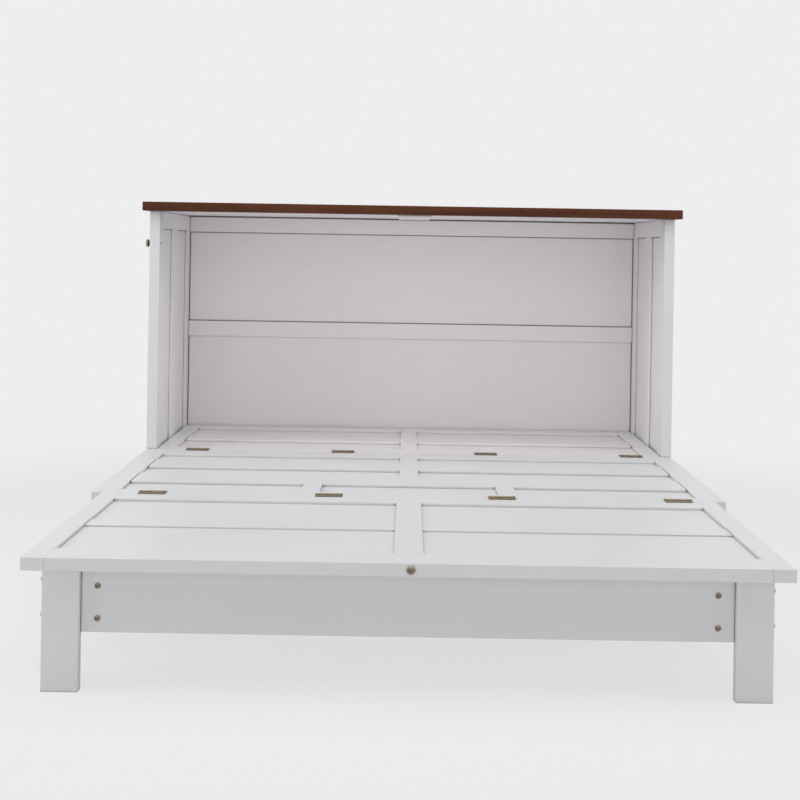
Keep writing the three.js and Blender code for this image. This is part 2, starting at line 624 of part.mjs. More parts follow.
// Latch knob and its pin in one turned piece, lying along X through the left side.
function addLatch() {
  const headFrom = KNOB_PROJECTION - KNOB_HEAD;
  const tip = -SIDE_THICKNESS - LATCH_REACH;
  const profile = [
    [0, tip],
    [LATCH_PIN_RADIUS - LATCH_NOSE, tip],
    [LATCH_PIN_RADIUS, tip + LATCH_NOSE],
    [LATCH_PIN_RADIUS, SEAM],
    [KNOB_ROSE_RADIUS, SEAM],
    [KNOB_ROSE_RADIUS, KNOB_ROSE],
    [KNOB_NECK_RADIUS, KNOB_ROSE],
    [KNOB_NECK_RADIUS, headFrom],
  ];
  const first = Math.acos(KNOB_NECK_RADIUS / KNOB_RADIUS);
  for (let step = 1; step < KNOB_CURVE_STEPS; step += 1) {
    const angle = -first + (first + Math.PI / 2) * step / KNOB_CURVE_STEPS;
    const along = headFrom + KNOB_HEAD * (1 + Math.sin(angle)) / 2;
    profile.push([KNOB_RADIUS * Math.cos(angle), along]);
  }
  profile.push([0, KNOB_PROJECTION]);
  const knob = turned(profile, ROUND_FACETS);
  knob.rotateZ(Math.PI / 2);
  addPiece('latch_knob', 'brass', knob.translate(-OUTER_X, LATCH_Y, LATCH_Z));
}

// Tie bolt with a cup washer in the foot section's front edge.
function addTieBolt() {
  const profile = [
    [0, -TIE_BOLT_LENGTH],
    [TIE_BOLT_RADIUS, -TIE_BOLT_LENGTH],
    [TIE_BOLT_RADIUS, SEAM],
    [CUP_RADIUS, SEAM],
    [CUP_RADIUS, CUP_RIM],
    [CUP_MOUTH_RADIUS, CUP_PROJECTION],
    [TIE_BOLT_RADIUS, CUP_PROJECTION - CUP_DEPTH],
    [0, CUP_PROJECTION - CUP_DEPTH],
  ];
  const bolt = turned(profile, ROUND_FACETS);
  bolt.rotateX(Math.PI);
  addPiece('tie_bolt', 'brass', bolt.translate(TIE_BOLT_PLACE, FOOT_FRONT_Y, DECK_MIDDLE_Z));
}

SIDES.forEach(addCabinetSide);
addCabinetBack();
addTop();
addHeadSupports();
addHeadSection();
addMiddleSection();
addFootDeck();
addFootFrame();
addHinges();
addLatch();
addTieBolt();

// The origin goes to the middle of the footprint, on the floor.
const rearEnd = CABINET_DEPTH + TOP_BACK_OVERHANG;
const frontEnd = FOOT_FRONT_Y - CUP_PROJECTION;
bed.position.y = -(frontEnd + rearEnd) / 2;

export default bed;
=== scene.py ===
"""Looks of the cabinet bed: finishes, eased edges, hinges, knob and bolts, with the camera and studio.

Metres, +Z up, the foot end towards -Y. The boards come from the frame.
"""

import math

import bmesh
import bpy
from mathutils import Matrix, Vector


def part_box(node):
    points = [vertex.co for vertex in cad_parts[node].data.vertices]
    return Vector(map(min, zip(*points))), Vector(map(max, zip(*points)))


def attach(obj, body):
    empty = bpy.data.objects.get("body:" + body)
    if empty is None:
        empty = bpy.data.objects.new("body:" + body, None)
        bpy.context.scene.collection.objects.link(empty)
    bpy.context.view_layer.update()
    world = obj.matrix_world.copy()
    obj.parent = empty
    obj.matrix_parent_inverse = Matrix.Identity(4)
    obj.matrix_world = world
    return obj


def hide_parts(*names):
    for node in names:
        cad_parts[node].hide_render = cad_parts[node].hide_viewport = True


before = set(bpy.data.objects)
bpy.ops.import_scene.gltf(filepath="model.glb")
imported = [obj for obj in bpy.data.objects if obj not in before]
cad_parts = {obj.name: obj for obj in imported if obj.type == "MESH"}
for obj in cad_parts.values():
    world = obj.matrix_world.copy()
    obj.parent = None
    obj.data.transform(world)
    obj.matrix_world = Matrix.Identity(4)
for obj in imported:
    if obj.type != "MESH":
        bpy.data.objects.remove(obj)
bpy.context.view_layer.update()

QUARTER_TURN = math.pi / 2

# Camera, from the photograph's perspective
PHOTO_PIXELS = 800
VANISHING_X_PIXEL = 408.8
VANISHING_Y_PIXEL = 248.8
FOCAL_PIXELS = 1336
SENSOR_MM = 36
EYE_X = -0.0103
EYE_TO_FOOT_EDGE = 2.7258
EYE_HEIGHT = 0.9283
CAMERA_ROLL = math.radians(0.938)
CLIP_NEAR = 0.05
CLIP_FAR = 60

# Lamps: size, place, point aimed at, watts and colour
LAMPS = {
    "overhead": ((5.0, 4.0), (0, -0.6, 3.4), (0, -0.6, 0), 76, (0.98, 0.99, 1.0)),
    "fill": ((5.0, 3.0), (0, -5.6, 1.9), (0, 0, 0.5), 36, (1.0, 0.97, 0.98)),
    "left": ((3.0, 2.5), (-4.4, -1.6, 2.2), (0, -0.2, 0.4), 64, (1.0, 0.99, 1.0)),
    "right": ((3.0, 2.5), (4.4, -1.6, 2.2), (0, -0.2, 0.4), 41, (0.98, 0.985, 1.0)),
    "inner": ((1.5, 0.5), (0, 0.43, 0.60), (0, 1.0, 0.60), 0.96, (1.0, 0.90, 0.90)),
}

# World and floor
BACKDROP = (0.855, 0.855, 0.855, 1)
AMBIENT = (0.97, 0.985, 1.0, 1)
AMBIENT_STRENGTH = 0.20
FLOOR_HALF = 15
FLOOR_COLOUR = (0.90, 0.90, 0.90, 1)
FLOOR_LIFT_SHARE = 0.80
FLOOR_FADE_LIMITS = (1.5, 3.2)

# Finishes, where limits are the two values of an input between which the look changes
SHEEN_LIMITS = (0.3, 0.7)
# Samples of the ambient occlusion that places painted shade in corners
CORNER_SAMPLES = 8

# White paint: a noise is given by its detail and its roughness
PAINT_LIGHT = (0.815, 0.815, 0.823, 1)
PAINT_DARK = (0.800, 0.800, 0.808, 1)
# Warmer copy of the white paint for the boards inside the cabinet: painted warm light
WARM_LIT_PANEL_LIGHT = (0.820, 0.797, 0.795, 1)
WARM_LIT_PANEL_DARK = (0.805, 0.782, 0.780, 1)
PAINT_GRAIN_ALONG = 3.5
PAINT_GRAIN_ACROSS = 170
PAINT_GRAIN_NOISE = (4, 0.6)
PAINT_MOTTLE = 5
PAINT_MOTTLE_NOISE = (3, 0.5)
PAINT_ORANGE_PEEL = 900
PAINT_PEEL_NOISE = (1, 0.5)
PAINT_GRAIN_SHARE = 0.55
PAINT_TONE_LIMITS = (0.35, 0.65)
PAINT_ROUGHNESS = (0.36, 0.46)
PAINT_GRAIN_BUMP = 0.03
PAINT_PEEL_BUMP = 0.03
PAINT_BUMP_DISTANCE = 0.0002
# Painted shade: the paint turns towards this colour in corners, gaps and near other parts within the reach,
# standing in for the shade that falls there
PAINT_PAINTED_SHADE = (0.40, 0.39, 0.39, 1)
PAINT_PAINTED_SHADE_REACH = 0.012
PAINT_PAINTED_SHADE_LIMITS = (0.30, 0.80)

# Brown top
WOOD_DARK = (0.050, 0.015, 0.007, 1)
WOOD_MIDDLE = (0.105, 0.033, 0.014, 1)
WOOD_LIGHT = (0.160, 0.054, 0.022, 1)
WOOD_FIGURE_ALONG = 0.8
WOOD_FIGURE_ACROSS = 9
WOOD_FIGURE_NOISE = (3, 0.55)
WOOD_GRAIN_ALONG = 1.6
WOOD_GRAIN_ACROSS = 60
WOOD_GRAIN_NOISE = (6, 0.65)
WOOD_PORE_ALONG = 22
WOOD_PORE_ACROSS = 900
WOOD_PORE_NOISE = (2, 0.5)
WOOD_FIGURE_SHARE = 0.5
WOOD_LOWER_LIMITS = (0.36, 0.50)
WOOD_UPPER_LIMITS = (0.50, 0.66)
WOOD_PORE_LIMITS = (0.60, 0.72)
WOOD_PORE_SHARE = 0.55
WOOD_ROUGHNESS = (0.30, 0.42)
WOOD_SPECULAR_SHARE = 0.12
WOOD_COAT_SHARE = 0.02
WOOD_COAT_ROUGHNESS = 0.2
WOOD_BUMP = 0.12
WOOD_BUMP_DISTANCE = 0.0005

# Antique brass
BRASS_BRIGHT = (0.43, 0.355, 0.25, 1)
BRASS_DULL = (0.19, 0.15, 0.104, 1)
# Dark brass: patina where the brass was never rubbed, and painted shade in corners and near other parts
BRASS_PATINA_AND_SHADE = (0.030, 0.024, 0.018, 1)
BRASS_CLOUD = 160
BRASS_CLOUD_NOISE = (4, 0.6)
BRASS_CLOUD_LIMITS = (0.35, 0.65)
BRASS_SPECK = 1400
BRASS_SPECK_NOISE = (2, 0.5)
BRASS_RUBBED_LIMITS = (0.46, 0.54)
BRASS_PATINA_SHARE = 0.6
BRASS_ROUGHNESS = (0.36, 0.56)
BRASS_BUMP = 0.10
BRASS_BUMP_DISTANCE = 0.0002
# Patina and painted shade: the brass darkens within this reach of corners and other parts
BRASS_PATINA_AND_SHADE_REACH = 0.006
BRASS_PATINA_AND_SHADE_LIMITS = (0.40, 0.90)

# Boards inside the cabinet, which take a warmer copy of the white paint: painted warm light, standing in for
# the warm light bounced about inside the cabinet
INNER_NODES = (
    "back_board", "back_top_rail", "back_middle_rail",
    "head_base_board", "head_slat", "head_centre_stile", "head_rear_rail",
)

# Eased edges, where a board's first word picks its width from the table
BOARD_EDGE = 0.0012
DECK_EDGE = 0.0007
FOOT_EDGE = 0.0005
SLAB_EDGE = 0.0019
LEG_EDGE = 0.0016
EDGES = {"head": DECK_EDGE, "mid": DECK_EDGE, "foot": FOOT_EDGE, "leg": LEG_EDGE}
EDGE_SEGMENTS = 3
METAL_EDGE_SEGMENTS = 2
WELD_DISTANCE = 0.00001
FLAT_ANGLE = math.radians(0.5)
SHARP_ANGLE = math.radians(40)

# Meshes of the metal pieces, where stacked shells reach into each other by the overlap
POINT_WELD_DISTANCE = 0.000001
SHELL_OVERLAP = 0.0001
CIRCLE_FACETS = 28

# Hinges: start of the nodes' names, body, 1 where the leaf lies behind its axis, whether it holds the pin
HINGE_ROWS = (
    ("hinge_a_head", "cabinet", 1, True),
    ("hinge_a_mid", "middle_section", -1, False),
    ("hinge_b_mid", "middle_section", 1, True),
    ("hinge_b_foot", "foot_section", -1, False),
)
HINGES_PER_ROW = 4
KNUCKLE_COUNT = 5
KNUCKLE_FACETS = 28
KNUCKLE_PLAY = 0.0004
KNUCKLE_CHAMFER = 0.0003
PIN_HEAD_RADIUS = 0.0016
PIN_HEAD_RISE = 0.0003
PLATE_THICKNESS = 0.002
PLATE_CORNER = 0.004
PLATE_CORNER_FACETS = 6
PLATE_EDGE = 0.0003
PLATE_START = 0.0033
SCREW_PLACES = ((-0.0255, 0.0108), (0, 0.0152), (0.0255, 0.0108))
SCREW_RADIUS = 0.0031
SCREW_HOLE_RADIUS = 0.0034
SCREW_THICKNESS = 0.0012
SCREW_PROUD = 0.0002
SCREW_CROSS_LENGTH = 0.0040
SCREW_CROSS_WIDTH = 0.0010
SCREW_CROSS_DEPTH = 0.0008

# Latch knob
KNOB_FACETS = 56
KNOB_CURVE_STEPS = 18
KNOB_PIN_RADIUS = 0.004
KNOB_PIN_NOSE = 0.0015
KNOB_PROJECTION = 0.015
KNOB_HEAD = 0.0115
KNOB_NECK_RADIUS = 0.008
KNOB_ROSE_RADIUS = 0.012
KNOB_ROSE = 0.0025
KNOB_ROSE_EDGE = 0.0006
KNOB_SEAT_GAP = 0.0003

# Cup bolts
BOLT_FACETS = 40
CUP_CURVE_STEPS = 6
CUP_MOUTH_SHARE = 0.66
CUP_RIM_SHARE = 0.30
CUP_DEPTH_SHARE = 0.45
CUP_LIP_RADIUS_SHARE = 0.96
CUP_LIP_HEIGHT_SHARE = 0.94
CUP_WALL_SHARE = 0.94
HEAD_RADIUS_SHARE = 0.56
HEAD_RISE_SHARE = 0.80
SOCKET_RADIUS_SHARE = 0.28
SOCKET_SIDES = 6
TIE_SHANK_SHARE = 0.44
FRAME_BOLT_RADIUS = 0.0063
FRAME_BOLT_PROJECTION = 0.0032
APRON_BOLT_X = 0.645
APRON_BOLT_HEIGHTS = (0.218, 0.150)
LEG_BOLT_SETBACK = 0.012
LEG_BOLT_HEIGHTS = (0.2318, 0.1585)


# Node helpers
class Graph:
    """A material's or world's node tree, with short ways to add and link nodes."""

    def __init__(self, owner):
        owner.use_nodes = True
        self.tree = owner.node_tree
        self.tree.nodes.clear()

    def add(self, kind, **settings):
        node = self.tree.nodes.new(kind)
        for name, value in settings.items():
            setattr(node, name, value)
        return node

    def link(self, source, target):
        self.tree.links.new(source, target)

    def value(self, socket, source):
        """Sets a socket to a number or colour, or links another socket to it."""
        if isinstance(source, bpy.types.NodeSocket):
            self.link(source, socket)
        else:
            socket.default_value = source

    def math(self, operation, first, second):
        node = self.add("ShaderNodeMath", operation=operation)
        self.value(node.inputs[0], first)
        self.value(node.inputs[1], second)
        return node.outputs[0]

    def blend(self, first, second, first_share):
        """Weighted sum of two values."""
        first_part = self.math("MULTIPLY", first, first_share)
        second_part = self.math("MULTIPLY", second, 1 - first_share)
        return self.math("ADD", first_part, second_part)

    def spread(self, source, low, high, to_low, to_high):
        """Maps a value from one range to another, held inside the second."""
        node = self.add("ShaderNodeMapRange", interpolation_type="SMOOTHSTEP")
        self.value(node.inputs["Value"], source)
        self.value(node.inputs["From Min"], low)
        self.value(node.inputs["From Max"], high)
        self.value(node.inputs["To Min"], to_low)
        self.value(node.inputs["To Max"], to_high)
        return node.outputs["Result"]

    def rise(self, source, limits):
        """0 below the limits, 1 above them."""
        return self.spread(source, *limits, 0, 1)

    def mix_colour(self, factor, first, second):
        node = self.add("ShaderNodeMix", data_type="RGBA")
        sockets = [socket for socket in node.inputs if socket.type == "RGBA"]
        self.value(node.inputs["Factor"], factor)
        self.value(sockets[0], first)
        self.value(sockets[1], second)
        return next(socket for socket in node.outputs if socket.type == "RGBA")

    def mix_shader(self, factor, first, second):
        node = self.add("ShaderNodeMixShader")
        for socket, source in zip(node.inputs, (factor, first, second)):
            self.link(source, socket)
        return node.outputs[0]

    def noise(self, scale_xyz, detail, roughness):
        """Noise over the object's own coordinates, stretched by a scale per axis."""
        coordinates = self.add("ShaderNodeTexCoord")
        mapping = self.add("ShaderNodeMapping")
        mapping.inputs["Scale"].default_value = scale_xyz
        self.link(coordinates.outputs["Object"], mapping.inputs["Vector"])
        node = self.add("ShaderNodeTexNoise")
        node.inputs["Scale"].default_value = 1
        node.inputs["Detail"].default_value = detail
        node.inputs["Roughness"].default_value = roughness
        self.link(mapping.outputs["Vector"], node.inputs["Vector"])
        return node.outputs["Fac"]

    def bump(self, height, strength, distance, normal=None):
        node = self.add("ShaderNodeBump")
        node.inputs["Strength"].default_value = strength
        node.inputs["Distance"].default_value = distance
        self.link(height, node.inputs["Height"])
        if normal is not None:
            self.link(normal, node.inputs["Normal"])
        return node.outputs["Normal"]

    def add_painted_corner_shade(self, colour, shade, reach, limits):
        """The colour on open faces, turning to the shade colour in tight corners, gaps and near other parts
        that ambient occlusion finds: painted shade.
        """
        node = self.add("ShaderNodeAmbientOcclusion", samples=CORNER_SAMPLES)
        node.inputs["Distance"].default_value = reach
        return self.mix_colour(self.rise(node.outputs["AO"], limits), shade, colour)

    def surface(self, shader):
        output = self.add("ShaderNodeOutputMaterial")
        self.link(shader, output.inputs["Surface"])

    def finish(self, colour, roughness, normal, settings):
        """Principled surface; the settings are fixed values for its other inputs."""
        shader = self.add("ShaderNodeBsdfPrincipled")
        for name, value in settings.items():
            shader.inputs[name].default_value = value
        self.link(colour, shader.inputs["Base Color"])
        self.link(roughness, shader.inputs["Roughness"])
        self.link(normal, shader.inputs["Normal"])
        self.surface(shader.outputs[0])


def stretched(axis, along, across):
    """Texture scale with the grain along one axis."""
    return tuple(along if index == axis else across for index in range(3))


def evenly(scale):
    """Texture scale that is the same along each axis."""
    return (scale,) * 3


# Finishes
def make_paint(name, axis, light, dark):
    """Satin white paint with painted shade in tight corners, gaps and near other parts, that lets a faint
    grain along one axis show.
    """
    material = bpy.data.materials.new(name)
    graph = Graph(material)
    grain = graph.noise(stretched(axis, PAINT_GRAIN_ALONG, PAINT_GRAIN_ACROSS), *PAINT_GRAIN_NOISE)
    mottle = graph.noise(evenly(PAINT_MOTTLE), *PAINT_MOTTLE_NOISE)
    peel = graph.noise(evenly(PAINT_ORANGE_PEEL), *PAINT_PEEL_NOISE)
    tone = graph.blend(grain, mottle, PAINT_GRAIN_SHARE)
    paint = graph.mix_colour(graph.rise(tone, PAINT_TONE_LIMITS), dark, light)
    # Painted shade in corners and gaps, from ambient occlusion
    colour = graph.add_painted_corner_shade(paint, PAINT_PAINTED_SHADE, PAINT_PAINTED_SHADE_REACH, PAINT_PAINTED_SHADE_LIMITS)
    roughness = graph.spread(mottle, *SHEEN_LIMITS, *PAINT_ROUGHNESS)
    fine = graph.bump(peel, PAINT_PEEL_BUMP, PAINT_BUMP_DISTANCE)
    normal = graph.bump(grain, PAINT_GRAIN_BUMP, PAINT_BUMP_DISTANCE, fine)
    graph.finish(colour, roughness, normal, {})
    return material


def make_paints(name, light, dark):
    """One paint for each axis that a board's grain can run along."""
    return [make_paint(f"{name}_{'xyz'[axis]}", axis, light, dark) for axis in range(3)]


def make_brown_wood():
    """Dark brown stained wood, its grain along X, under satin lacquer."""
    material = bpy.data.materials.new("brown_stained_wood")
    graph = Graph(material)
    figure = graph.noise(stretched(0, WOOD_FIGURE_ALONG, WOOD_FIGURE_ACROSS), *WOOD_FIGURE_NOISE)
    grain = graph.noise(stretched(0, WOOD_GRAIN_ALONG, WOOD_GRAIN_ACROSS), *WOOD_GRAIN_NOISE)
    pores = graph.noise(stretched(0, WOOD_PORE_ALONG, WOOD_PORE_ACROSS), *WOOD_PORE_NOISE)
    tone = graph.blend(figure, grain, WOOD_FIGURE_SHARE)
    lower = graph.mix_colour(graph.rise(tone, WOOD_LOWER_LIMITS), WOOD_DARK, WOOD_MIDDLE)
    upper = graph.mix_colour(graph.rise(tone, WOOD_UPPER_LIMITS), lower, WOOD_LIGHT)
    pore_share = graph.spread(pores, *WOOD_PORE_LIMITS, 0, WOOD_PORE_SHARE)
    colour = graph.mix_colour(pore_share, upper, WOOD_DARK)
    roughness = graph.spread(grain, *SHEEN_LIMITS, *WOOD_ROUGHNESS)
    normal = graph.bump(pores, WOOD_BUMP, WOOD_BUMP_DISTANCE)
    settings = {
        "Specular IOR Level": WOOD_SPECULAR_SHARE,
        "Coat Weight": WOOD_COAT_SHARE,
        "Coat Roughness": WOOD_COAT_ROUGHNESS,
    }
    graph.finish(colour, roughness, normal, settings)
    return material


def make_brass():
    """Aged brass: rubbed bright on its edges, dark where it was never rubbed, and darker still in tight
    corners and near other parts: patina there, and painted shade.
    """
    material = bpy.data.materials.new("antique_brass_aged")
    graph = Graph(material)
    cloud = graph.noise(evenly(BRASS_CLOUD), *BRASS_CLOUD_NOISE)
    speck = graph.noise(evenly(BRASS_SPECK), *BRASS_SPECK_NOISE)
    rubbed = graph.add("ShaderNodeNewGeometry").outputs["Pointiness"]
    metal = graph.mix_colour(graph.rise(cloud, BRASS_CLOUD_LIMITS), BRASS_DULL, BRASS_BRIGHT)
    patina_share = graph.spread(rubbed, *BRASS_RUBBED_LIMITS, BRASS_PATINA_SHARE, 0)
    worn = graph.mix_colour(patina_share, metal, BRASS_PATINA_AND_SHADE)
    # Patina in the hollows, and painted shade where the brass meets other parts
    colour = graph.add_painted_corner_shade(worn, BRASS_PATINA_AND_SHADE, BRASS_PATINA_AND_SHADE_REACH, BRASS_PATINA_AND_SHADE_LIMITS)
    roughness = graph.spread(cloud, *SHEEN_LIMITS, *BRASS_ROUGHNESS)
    normal = graph.bump(speck, BRASS_BUMP, BRASS_BUMP_DISTANCE)
    graph.finish(colour, roughness, normal, {"Metallic": 1})
    return material


PAINTS = make_paints("white_paint_grain", PAINT_LIGHT, PAINT_DARK)
# The warmer copy: painted warm light inside the cabinet
WARM_LIT_INNER_PAINTS = make_paints("white_paint_warm_lit_inner", WARM_LIT_PANEL_LIGHT, WARM_LIT_PANEL_DARK)
BROWN_WOOD = make_brown_wood()
BRASS = make_brass()


# Boards
def longest_axis(node):
    """The axis that a board, and so its grain, runs along."""
    low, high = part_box(node)
    size = high - low
    return max(range(3), key=lambda axis: size[axis])


def add_bevel(obj, width, segments):
    """Rounds an object's sharp edges."""
    bevel = obj.modifiers.new("eased_edges", "BEVEL")
    bevel.width = width
    bevel.segments = segments
    bevel.limit_method = "ANGLE"
    bevel.angle_limit = SHARP_ANGLE


def finish_board(name, obj):
    """Gives a board of the frame its paint or stain and eased edges."""
    if name == "cabinet_top":
        material, edge = BROWN_WOOD, SLAB_EDGE
    else:
        # Boards inside the cabinet take the warmer copy, painted warm light
        paints = WARM_LIT_INNER_PAINTS if name in INNER_NODES else PAINTS
        material = paints[longest_axis(name)]
        edge = EDGES.get(name.split("_")[0], BOARD_EDGE)
    for slot in obj.material_slots:
        slot.material = material
    weld = obj.modifiers.new("weld", "WELD")
    weld.merge_threshold = WELD_DISTANCE
    dissolve = obj.modifiers.new("flat_faces", "DECIMATE")
    dissolve.decimate_type = "DISSOLVE"
    dissolve.angle_limit = FLAT_ANGLE
    add_bevel(obj, edge, EDGE_SEGMENTS)


# Meshes of the metal pieces
def circle_points(radius, facets=CIRCLE_FACETS, centre=(0, 0)):
    """Points round a circle."""
    angles = [2 * math.pi * index / facets for index in range(facets)]
    return [(centre[0] + radius * math.cos(angle), centre[1] + radius * math.sin(angle)) for angle in angles]


def cross_points(length, width, centre):
    """Outline of a driver's cross."""
    long, short = length / 2, width / 2
    corners = [
        (long, short), (short, short), (short, long), (-short, long), (-short, short), (-long, short),
        (-long, -short), (-short, -short), (-short, -long), (short, -long), (short, -short), (long, -short),
    ]
    return [(centre[0] + x, centre[1] + y) for x, y in corners]


def plate_points(half, near, far, corner):
    """Outline of a hinge plate with its two outer corners rounded."""
    points = [(-half, near)]
    for first_angle, centre_x in ((math.pi, corner - half), (QUARTER_TURN, half - corner)):
        for step in range(PLATE_CORNER_FACETS + 1):
            angle = first_angle - QUARTER_TURN * step / PLATE_CORNER_FACETS
            points.append((centre_x + corner * math.cos(angle), far - corner + corner * math.sin(angle)))
    points.append((half, near))
    return points


def prism_mesh(outlines, bottom, top):
    """Flat plate between two heights; the outlines after the first are holes through it."""
    curve = bpy.data.curves.new("outline", "CURVE")
    curve.dimensions = "2D"
    curve.fill_mode = "BOTH"
    curve.extrude = (top - bottom) / 2
    for outline in outlines:
        spline = curve.splines.new("POLY")
        spline.points.add(len(outline) - 1)
        spline.use_cyclic_u = True
        for point, (x, y) in zip(spline.points, outline):
            point.co = (x, y, 0, 1)
    holder = bpy.data.objects.new("outline", curve)
    mesh = bpy.data.meshes.new_from_object(holder)
    bpy.data.objects.remove(holder)
    bpy.data.curves.remove(curve)
    mesh.transform(Matrix.Translation((0, 0, (top + bottom) / 2)))
    return mesh


def turned_mesh(profile, facets):
    """Solid turned about Z from (radius, height) points that start and end on the axis."""
    work = bmesh.new()
    rings = []
    for radius, height in profile:
        if radius == 0:
            rings.append([work.verts.new((0, 0, height))])
        else:
            rings.append([work.verts.new((x, y, height)) for x, y in circle_points(radius, facets)])
    for lower, upper in zip(rings, rings[1:]):
        for index in range(facets):
            after = (index + 1) % facets
            corners = [lower[index % len(lower)], lower[after % len(lower)]]
            corners += [upper[after % len(upper)], upper[index % len(upper)]]
            work.faces.new(list(dict.fromkeys(corners)))
    bmesh.ops.recalc_face_normals(work, faces=work.faces)
    mesh = bpy.data.meshes.new("turned")
    work.to_mesh(mesh)
    work.free()
    return mesh


def merged_mesh(name, meshes):
    """One mesh from several (mesh, matrix) pairs."""
    work = bmesh.new()
    for mesh, matrix in meshes:
        part = mesh.copy()
        part.transform(matrix)
        work.from_mesh(part)
        bpy.data.meshes.remove(part)
    bmesh.ops.remove_doubles(work, verts=work.verts, dist=POINT_WELD_DISTANCE)
    bmesh.ops.recalc_face_normals(work, faces=work.faces)
    result = bpy.data.meshes.new(name)
    work.to_mesh(result)
    work.free()
    return result


def facing(direction, axis="Z"):
    """Rotation that turns an axis to a direction."""
    return Vector(direction).to_track_quat(axis, "Y").to_matrix().to_4x4()


def add_object(name, data):
    """Puts a mesh, lamp or camera in the scene."""
    obj = bpy.data.objects.new(name, data)
    bpy.context.scene.collection.objects.link(obj)
    return obj


def add_metal(name, mesh, body, matrix):
    """Adds a brass piece that rides on a body."""
    mesh.materials.clear()
    mesh.materials.append(BRASS)
    mesh.shade_smooth()
    mesh.set_sharp_from_angle(angle=SHARP_ANGLE)
    obj = add_object(name, mesh)
    obj.matrix_world = matrix
    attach(obj, body)
    return obj


# Hinges
def knuckle_mesh(radius, length):
    """One chamfered knuckle along Z."""
    half = length / 2
    profile = [
        (0, -half), (radius - KNUCKLE_CHAMFER, -half), (radius, -half + KNUCKLE_CHAMFER),
        (radius, half - KNUCKLE_CHAMFER), (radius - KNUCKLE_CHAMFER, half), (0, half),
    ]
    return turned_mesh(profile, KNUCKLE_FACETS)


def pin_mesh(length):
    """The hinge pin along Z, its ends just proud of the knuckles."""
    half = length / 2
    profile = [
        (0, -half - PIN_HEAD_RISE), (PIN_HEAD_RADIUS, -half),
        (PIN_HEAD_RADIUS, half), (0, half + PIN_HEAD_RISE),
    ]
    return turned_mesh(profile, KNUCKLE_FACETS)


def leaf_mesh(length, reach, radius, holds_pin):
    """A leaf on its axis: X along the axis, Y outward, Z up from the axis."""
    turn_to_x = Matrix.Rotation(QUARTER_TURN, 4, "Y")
    holes = [circle_points(SCREW_HOLE_RADIUS, centre=place) for place in SCREW_PLACES]
    outline = plate_points(length / 2, PLATE_START, reach, PLATE_CORNER)
    plate_top = PLATE_THICKNESS - radius
    parts = [(prism_mesh([outline, *holes], -radius, plate_top), Matrix())]
    pitch = length / KNUCKLE_COUNT
    knuckle = knuckle_mesh(radius, pitch - KNUCKLE_PLAY)
    half = (pitch - KNUCKLE_PLAY) / 2
    web = prism_mesh([[(-half, 0), (half, 0), (half, PLATE_START), (-half, PLATE_START)]], -radius, plate_top)
    for index in range(0 if holds_pin else 1, KNUCKLE_COUNT, 2):
        place = Matrix.Translation((index * pitch + (pitch - length) / 2, 0, 0))
        parts.append((knuckle, place @ turn_to_x))
        parts.append((web, place))
    if holds_pin:
        parts.append((pin_mesh(length), turn_to_x))
    return merged_mesh("leaf", parts)


def screws_mesh(plate_top):
    """The leaf's countersunk screws with their driver crosses."""
    parts = []
    top = plate_top + SCREW_PROUD
    floor = top - SCREW_CROSS_DEPTH
    for place in SCREW_PLACES:
        head = circle_points(SCREW_RADIUS, centre=place)
        core = circle_points(SCREW_RADIUS - SHELL_OVERLAP, centre=place)
        cross = cross_points(SCREW_CROSS_LENGTH, SCREW_CROSS_WIDTH, place)
        parts.append((prism_mesh([head, cross], floor - SHELL_OVERLAP, top), Matrix()))
        parts.append((prism_mesh([core], top - SCREW_THICKNESS, floor), Matrix()))
    return merged_mesh("screws", parts)


def add_hinge_leaf(row, number, body, outward, holds_pin):
    """Replaces one hinge leaf by a rounder one with countersunk screws."""
    node = f"{row}_leaf_{number}"
    low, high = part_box(node)
    radius = (high.z - low.z) / 2
    axis_y = low.y + radius if outward > 0 else high.y - radius
    reach = high.y - low.y - radius
    centre = Vector(((low.x + high.x) / 2, axis_y, (low.z + high.z) / 2))
    turn = Matrix() if outward > 0 else Matrix.Rotation(math.pi, 4, "Z")
    place = Matrix.Translation(centre) @ turn
    leaf = add_metal(f"{node}_turned", leaf_mesh(high.x - low.x, reach, radius, holds_pin), body, place)
    add_bevel(leaf, PLATE_EDGE, METAL_EDGE_SEGMENTS)
    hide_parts(node)
    add_metal(f"{row}_screws_{number}", screws_mesh(PLATE_THICKNESS - radius), body, place)


def add_hinges():
    """The four rows of hinge leaves."""
    for row, body, outward, holds_pin in HINGE_ROWS:
        for number in range(1, HINGES_PER_ROW + 1):
            add_hinge_leaf(row, number, body, outward, holds_pin)


# Latch knob
def knob_profile(radius, tip):
    """Pin, rose, neck and rounded head, as (radius, height) points from the pin's tip."""
    points = [(0, tip), (KNOB_PIN_RADIUS - KNOB_PIN_NOSE, tip), (KNOB_PIN_RADIUS, tip + KNOB_PIN_NOSE)]
    points += [(KNOB_PIN_RADIUS, KNOB_SEAT_GAP)]
    points += [(KNOB_ROSE_RADIUS, KNOB_SEAT_GAP), (KNOB_ROSE_RADIUS, KNOB_ROSE - KNOB_ROSE_EDGE)]
    points += [(KNOB_ROSE_RADIUS - KNOB_ROSE_EDGE, KNOB_ROSE), (KNOB_NECK_RADIUS, KNOB_ROSE + KNOB_ROSE_EDGE)]
    head_from = KNOB_PROJECTION - KNOB_HEAD
    points += [(KNOB_NECK_RADIUS, head_from)]
    neck_angle = math.acos(KNOB_NECK_RADIUS / radius)
    for step in range(1, KNOB_CURVE_STEPS):
        angle = -neck_angle + (neck_angle + QUARTER_TURN) * step / KNOB_CURVE_STEPS
        points.append((radius * math.cos(angle), head_from + KNOB_HEAD * (1 + math.sin(angle)) / 2))
    points.append((0, KNOB_PROJECTION))
    return points


